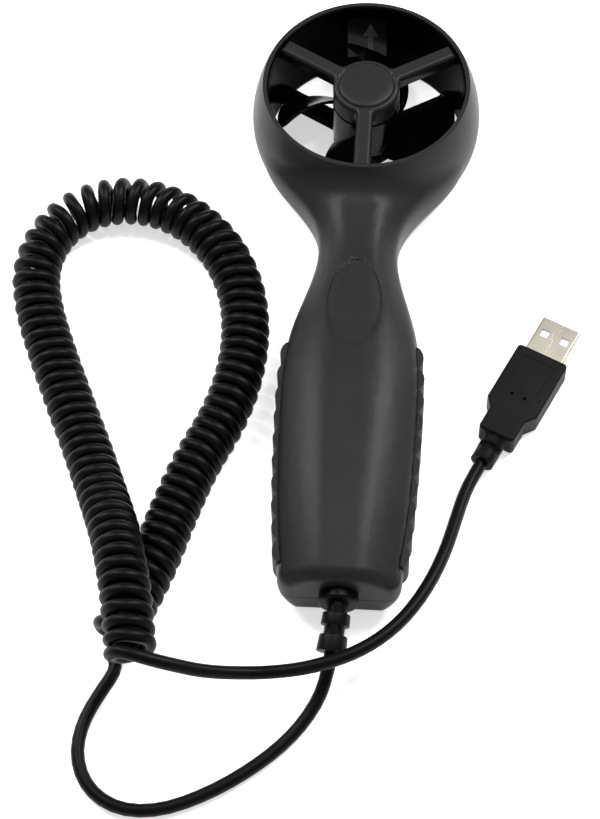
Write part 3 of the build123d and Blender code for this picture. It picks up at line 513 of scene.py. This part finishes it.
def end_tree(tree, geometry, material):
    """Closes a tree: instances made real, then the finish."""
    real = put(tree, "GeometryNodeRealizeInstances", {"Geometry": geometry})
    coated = put(tree, "GeometryNodeSetMaterial", {"Geometry": real.outputs[0], "Material": finishes[material]})
    out = tree.nodes.new("NodeGroupOutput")
    tree.links.new(coated.outputs[0], out.inputs[0])


def grow(name, tree, sizes, axes):
    """Runs a tree with these sizes, and gives its result as a plain mesh placed by the axes."""
    piece = bpy.data.objects.new(name, bpy.data.meshes.new(name))
    scene.collection.objects.link(piece)
    maker = piece.modifiers.new("maker", "NODES")
    maker.node_group = tree
    for socket in tree.interface.items_tree:
        if socket.in_out == "INPUT":
            maker[socket.identifier] = sizes[socket.name]
    mesh = bpy.data.meshes.new_from_object(piece.evaluated_get(bpy.context.evaluated_depsgraph_get()))
    piece.modifiers.clear()
    piece.data = mesh
    mesh.transform(axes)
    mesh.shade_smooth()
    mesh.set_sharp_from_angle(angle=math.radians(30))
    print(name, "faces", len(mesh.polygons))
    return piece


# %% The bridges' tree
bridge_sizes = {
    "Rows": 2, "Row spacing": 5.9 * MM, "Bridges": 2, "Radius": 3.2 * MM, "Length": 2.9 * MM, "Width": 1.9 * MM,
    "Thickness": 1.1 * MM,
}
bridge_tree, given = start_tree("relief_bridges", bridge_sizes)
block = put(bridge_tree, "GeometryNodeMeshCube", {
    "Size": vector_of(bridge_tree, given["Thickness"], given["Width"], given["Length"]),
})
moved_out = put(bridge_tree, "GeometryNodeTransform", {
    "Geometry": block.outputs[0], "Translation": vector_of(bridge_tree, given["Radius"], 0.0, 0.0),
})
number = put(bridge_tree, "GeometryNodeInputIndex", {})
share = put(bridge_tree, "ShaderNodeMath", {0: number.outputs[0], 1: given["Bridges"]}, operation="DIVIDE")
angle = put(bridge_tree, "ShaderNodeMath", {0: share.outputs[0], 1: FULL_TURN}, operation="MULTIPLY")
centre = put(bridge_tree, "GeometryNodeMeshLine", {"Count": given["Bridges"], "Offset": (0.0, 0.0, 0.0)})
round_row = put(bridge_tree, "GeometryNodeInstanceOnPoints", {
    "Points": centre.outputs[0], "Instance": moved_out.outputs[0],
    "Rotation": vector_of(bridge_tree, 0.0, 0.0, angle.outputs[0]),
})
rows = put(bridge_tree, "GeometryNodeMeshLine", {
    "Count": given["Rows"], "Offset": vector_of(bridge_tree, 0.0, 0.0, given["Row spacing"]),
})
all_rows = put(bridge_tree, "GeometryNodeInstanceOnPoints", {
    "Points": rows.outputs[0], "Instance": round_row.outputs[0],
})
end_tree(bridge_tree, all_rows.outputs[0], "lead_jacket")

# %% Bridges on both strain reliefs
quarter = Matrix.Rotation(math.radians(90), 4, "Z")
handle_bridges = grow(
    "strain_relief_bridges", bridge_tree, bridge_sizes,
    relief_axes @ Matrix.Translation((0, 0, 1.2 * MM)) @ quarter,
)
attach(handle_bridges, "body")

# %% [markdown]
# ## Cover screws
# Each is a round head with a cross cut into it, on a plain shank. The four stand on the corners of a grid whose size
# comes from the CAD screws' own box, so they stay on their posts if the handle changes.

# %% The cover screws' tree
screw_low, screw_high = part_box("cover_screws")
HEAD_RADIUS, HEAD_HEIGHT, SHANK_RADIUS = 2.4 * MM, 1.5 * MM, 1.2 * MM
screw_sizes = {
    "Apart across": screw_high[0] - screw_low[0] - 2 * HEAD_RADIUS,
    "Apart along": screw_high[1] - screw_low[1] - 2 * HEAD_RADIUS,
    "Head radius": HEAD_RADIUS, "Head height": HEAD_HEIGHT, "Shank radius": SHANK_RADIUS,
    "Shank length": screw_high[2] - screw_low[2] - HEAD_HEIGHT, "Cross width": 0.7 * MM, "Cross length": 2.9 * MM,
}
screw_tree, given = start_tree("cover_screws", screw_sizes)
places = put(screw_tree, "GeometryNodeMeshGrid", {
    "Size X": given["Apart across"], "Size Y": given["Apart along"], "Vertices X": 2, "Vertices Y": 2,
})
head = put(screw_tree, "GeometryNodeMeshCylinder", {
    "Vertices": 40, "Radius": given["Head radius"], "Depth": given["Head height"],
})
arm_one = put(screw_tree, "GeometryNodeMeshCube", {
    "Size": vector_of(screw_tree, given["Cross width"], given["Cross length"], given["Head height"]),
})
arm_two = put(screw_tree, "GeometryNodeMeshCube", {
    "Size": vector_of(screw_tree, given["Cross length"], given["Cross width"], given["Head height"]),
})
half_way = put(screw_tree, "ShaderNodeMath", {0: given["Head height"], 1: -0.5}, operation="MULTIPLY")
sunk = vector_of(screw_tree, 0.0, 0.0, half_way.outputs[0])
tool_one = put(screw_tree, "GeometryNodeTransform", {"Geometry": arm_one.outputs[0], "Translation": sunk})
tool_two = put(screw_tree, "GeometryNodeTransform", {"Geometry": arm_two.outputs[0], "Translation": sunk})
cut_one = put(screw_tree, "GeometryNodeMeshBoolean", {"Mesh 1": head.outputs[0], "Mesh 2": tool_one.outputs[0]})
cut_two = put(screw_tree, "GeometryNodeMeshBoolean", {"Mesh 1": cut_one.outputs[0], "Mesh 2": tool_two.outputs[0]})
shank = put(screw_tree, "GeometryNodeMeshCylinder", {
    "Vertices": 24, "Radius": given["Shank radius"], "Depth": given["Shank length"],
})
length_and_head = put(
    screw_tree, "ShaderNodeMath", {0: given["Shank length"], 1: given["Head height"]}, operation="ADD",
)
shank_middle = put(screw_tree, "ShaderNodeMath", {0: length_and_head.outputs[0], 1: 0.5}, operation="MULTIPLY")
raised = put(screw_tree, "GeometryNodeTransform", {
    "Geometry": shank.outputs[0], "Translation": vector_of(screw_tree, 0.0, 0.0, shank_middle.outputs[0]),
})
screw = put(screw_tree, "GeometryNodeJoinGeometry", {})
screw_tree.links.new(cut_two.outputs[0], screw.inputs[0])
screw_tree.links.new(raised.outputs[0], screw.inputs[0])
all_screws = put(screw_tree, "GeometryNodeInstanceOnPoints", {
    "Points": places.outputs[0], "Instance": screw.outputs[0],
})
end_tree(screw_tree, all_screws.outputs[0], "zinc")

# %% The four cover screws
screw_middle = (Vector(screw_low) + Vector(screw_high)) / 2
screw_axes = Matrix.Translation((screw_middle.x, screw_middle.y, screw_low[2] + HEAD_HEIGHT / 2))
cover_screws = grow("cover_screws_surface", screw_tree, screw_sizes, screw_axes)
stand_in(cover_screws, "cover_screws", "body", "zinc")


# %% [markdown]
# ## The plug's small features
# Lines pressed into the overmould and the folded seam of the metal shell are half-buried fine tubes. They are laid
# out flat beside the plug's own axes and then placed with one matrix.

# %% Plug axes and fine lines
PLUG_HALF = 3.9
PLUG_PLACE = Vector((54.6, -15.6, PLUG_HALF)) * MM
PLUG_TURN = math.radians(-26)
plug_axes = Matrix.Translation(PLUG_PLACE) @ Matrix.Rotation(PLUG_TURN, 4, "Z")


def fine_line(name, corners, height, radius, closed=False):
    """A thin round bead through flat points on the plug, at this height above its middle."""
    data = bpy.data.curves.new(name, "CURVE")
    data.dimensions = "3D"
    data.bevel_depth = radius
    data.bevel_resolution = 2
    spline = data.splines.new("POLY")
    spline.points.add(len(corners) - 1)
    for place, (across, along) in zip(spline.points, corners):
        place.co = (*(plug_axes @ Vector((across * MM, along * MM, height * MM))), 1.0)
    spline.use_cyclic_u = closed
    curve = bpy.data.objects.new(name, data)
    scene.collection.objects.link(curve)
    mesh = bpy.data.meshes.new_from_object(curve.evaluated_get(bpy.context.evaluated_depsgraph_get()))
    bpy.data.objects.remove(curve)
    mesh.shade_smooth()
    bead = bpy.data.objects.new(name, mesh)
    scene.collection.objects.link(bead)
    return bead


panel = [(-4.7, -13.5)]
panel += rounded((-4.9, -3.1), (-4.9, -10), (4.9, -3.1))
panel += rounded((4.9, -3.1), (-4.9, -3.1), (4.9, -10))
panel += [(4.7, -13.5)]
outline = fine_line("plug_outline", panel, 3.88, 0.13 * MM)
dress(outline, "plug_plastic")
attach(outline, "body")

seam = fine_line(
    "shell_seam", [(0, 0.1), (0, 6.0), (-0.9, 6.9), (-0.9, 8.8), (0.5, 9.6), (0.5, 12.1)], 2.22, 0.07 * MM
)
dress(seam, "plug_nickel")
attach(seam, "body")

# %% [markdown]
# ## More of the same bridges
# The plug has a short strain relief of its own, with one pair of bridges. The same tree makes them with other sizes.

# %% Bridges on the plug's strain relief
plug_relief_axes = plug_axes @ Matrix.Translation((0, -30.3 * MM, 0)) @ Matrix.Rotation(math.radians(90), 4, "X")
plug_bridge_sizes = dict(bridge_sizes)
plug_bridge_sizes.update({"Rows": 1, "Radius": 2.75 * MM, "Length": 2.4 * MM})
plug_bridges = grow(
    "plug_relief_bridges", bridge_tree, plug_bridge_sizes,
    plug_relief_axes @ Matrix.Translation((0, 0, 3.6 * MM)),
)
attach(plug_bridges, "body")

# %% [markdown]
# ## The overmould
# Two small dimples show where the mould held the plug. A boolean with a short cone cuts each, and leaves a true hole
# in the mesh, which a bump would not.

# %% The overmould with its two dimples
plug_body = welded_copy("plug_body", "plug_body_surface", 30)
DIMPLE_BACK, DIMPLE_APART = -16.3, 4.0
DIMPLE_FOOT, DIMPLE_MOUTH, DIMPLE_DEPTH = 0.45 * MM, 0.6 * MM, 1.6 * MM
for across in (-DIMPLE_APART / 2, DIMPLE_APART / 2):
    dimple_mesh = bpy.data.meshes.new("dimple")
    work = bmesh.new()
    bmesh.ops.create_cone(
        work, cap_ends=True, segments=24, radius1=DIMPLE_FOOT, radius2=DIMPLE_MOUTH, depth=DIMPLE_DEPTH,
    )
    dimple_place = plug_axes @ Matrix.Translation(Vector((across, DIMPLE_BACK, PLUG_HALF)) * MM)
    bmesh.ops.transform(work, matrix=dimple_place, verts=work.verts)
    work.to_mesh(dimple_mesh)
    work.free()
    dimple = bpy.data.objects.new("dimple", dimple_mesh)
    scene.collection.objects.link(dimple)
    cut = plug_body.modifiers.new("dimple", "BOOLEAN")
    cut.operation = "DIFFERENCE"
    cut.object = dimple
    cut_mesh = bpy.data.meshes.new_from_object(plug_body.evaluated_get(bpy.context.evaluated_depsgraph_get()))
    plug_body.modifiers.clear()
    plug_body.data = cut_mesh
    bpy.data.objects.remove(dimple)
stand_in(plug_body, "plug_body", "body", "plug_plastic")
print("plug body faces", len(plug_body.data.polygons))


# %% [markdown]
# ## The flow arrow
# A thin black label lies on the far wall of the duct, with a plain grey arrow that points out of the front. Both are
# flat outlines wrapped round the duct's axis.

# %% Label and arrow
sleeve_low, sleeve_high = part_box("duct_sleeve")
duct_middle = (Vector(sleeve_low) + Vector(sleeve_high)) / 2
DUCT_RADIUS = 29.2 * MM


def wrapped(name, rows, lift, thickness):
    """A thin patch on the duct's far wall: rows of (height, left, right) in mm, wrapped at this lift."""
    across = 10
    verts, faces = [], []
    for depth in (lift, lift + thickness):
        radius = DUCT_RADIUS - depth * MM
        for height, left, right in rows:
            for k in range(across + 1):
                angle = (left + (right - left) * k / across) * MM / radius
                verts.append((
                    duct_middle.x + radius * math.sin(angle), duct_middle.y + radius * math.cos(angle), height * MM,
                ))
    wide = across + 1
    layer = wide * len(rows)
    for row in range(len(rows) - 1):
        for k in range(across):
            a = row * wide + k
            faces.append((a, a + wide, a + wide + 1, a + 1))
            faces.append((layer + a, layer + a + 1, layer + a + wide + 1, layer + a + wide))
    rim = [k for k in range(wide)]
    rim += [row * wide + across for row in range(1, len(rows))]
    rim += [(len(rows) - 1) * wide + k for k in range(across - 1, -1, -1)]
    rim += [row * wide for row in range(len(rows) - 2, 0, -1)]
    for a, b in zip(rim, rim[1:] + rim[:1]):
        faces.append((a, b, layer + b, layer + a))
    mesh = bpy.data.meshes.new(name)
    mesh.from_pydata(verts, [], faces)
    work = bmesh.new()
    work.from_mesh(mesh)
    bmesh.ops.remove_doubles(work, verts=work.verts, dist=1e-6)
    bmesh.ops.recalc_face_normals(work, faces=work.faces)
    work.to_mesh(mesh)
    work.free()
    patch = bpy.data.objects.new(name, mesh)
    scene.collection.objects.link(patch)
    return patch


# %% The label and its arrow
label = wrapped("flow_label", [(5.7, -7.0, 5.0), (23.7, -7.0, 5.0)], 0.0, 0.1)
dress(label, "label")
arrow_rows = [(8.5, -0.8, 0.8), (15.3, -0.8, 0.8), (15.3, -2.4, 2.4), (21.2, -0.02, 0.02)]
arrow = wrapped("flow_arrow", arrow_rows, 0.1, 0.04)
dress(arrow, "arrow_ink")
for piece in (label, arrow):
    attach(piece, "body")


# %% [markdown]
# ## The lead
# The whole lead shows. It is thin and soft, and lies coiled as it grew. The plug and the strain relief are parts of
# the real lead.


# %% [markdown]
# ## Floor
# A plain sheet of bright paper, much larger than the view, so that no edge shows and a faint shadow falls on it.

# %% Floor
floor_mesh = bpy.data.meshes.new("floor")
floor_mesh.from_pydata([(-6, -6, 0), (6, -6, 0), (6, 6, 0), (-6, 6, 0)], [], [(0, 1, 2, 3)])
floor = bpy.data.objects.new("floor", floor_mesh)
scene.collection.objects.link(floor)
paper = bpy.data.materials.new("paper")
paper.use_nodes = True
sheen = paper.node_tree.nodes["Principled BSDF"].inputs
sheen["Base Color"].default_value = (0.92, 0.92, 0.92, 1)
sheen["Roughness"].default_value = 0.9
sheen["Emission Color"].default_value = (1, 1, 1, 1)
sheen["Emission Strength"].default_value = 0.58
floor_mesh.materials.append(paper)


# %% [markdown]
# ## Light
# Two long, narrow soft boxes beyond the head draw a streak down each side of the handle's front, and an even white
# surround fills in the rest. The floor is bright white paper.

# %% Lights
scene.view_settings.view_transform = "Standard"


def soft_box(name, place, aim, size, power):
    data = bpy.data.lights.new(name, "AREA")
    data.shape = "RECTANGLE"
    data.size, data.size_y = size
    data.energy = power
    lamp = bpy.data.objects.new(name, data)
    lamp.location = place
    lamp.rotation_mode = "QUATERNION"
    lamp.rotation_quaternion = (Vector(aim) - Vector(place)).to_track_quat("-Z", "Y")
    scene.collection.objects.link(lamp)
    return lamp


soft_box("left_box", (-0.62, 0.35, 0.75), (0, 0, 0), (0.12, 1.0), 9)
soft_box("right_box", (0.47, 0.35, 0.78), (0, 0, 0), (0.12, 1.0), 11)
world = bpy.data.worlds.new("studio")
world.use_nodes = True
world.node_tree.nodes["Background"].inputs["Color"].default_value = (1, 1, 1, 1)
world.node_tree.nodes["Background"].inputs["Strength"].default_value = 0.38
scene.world = world
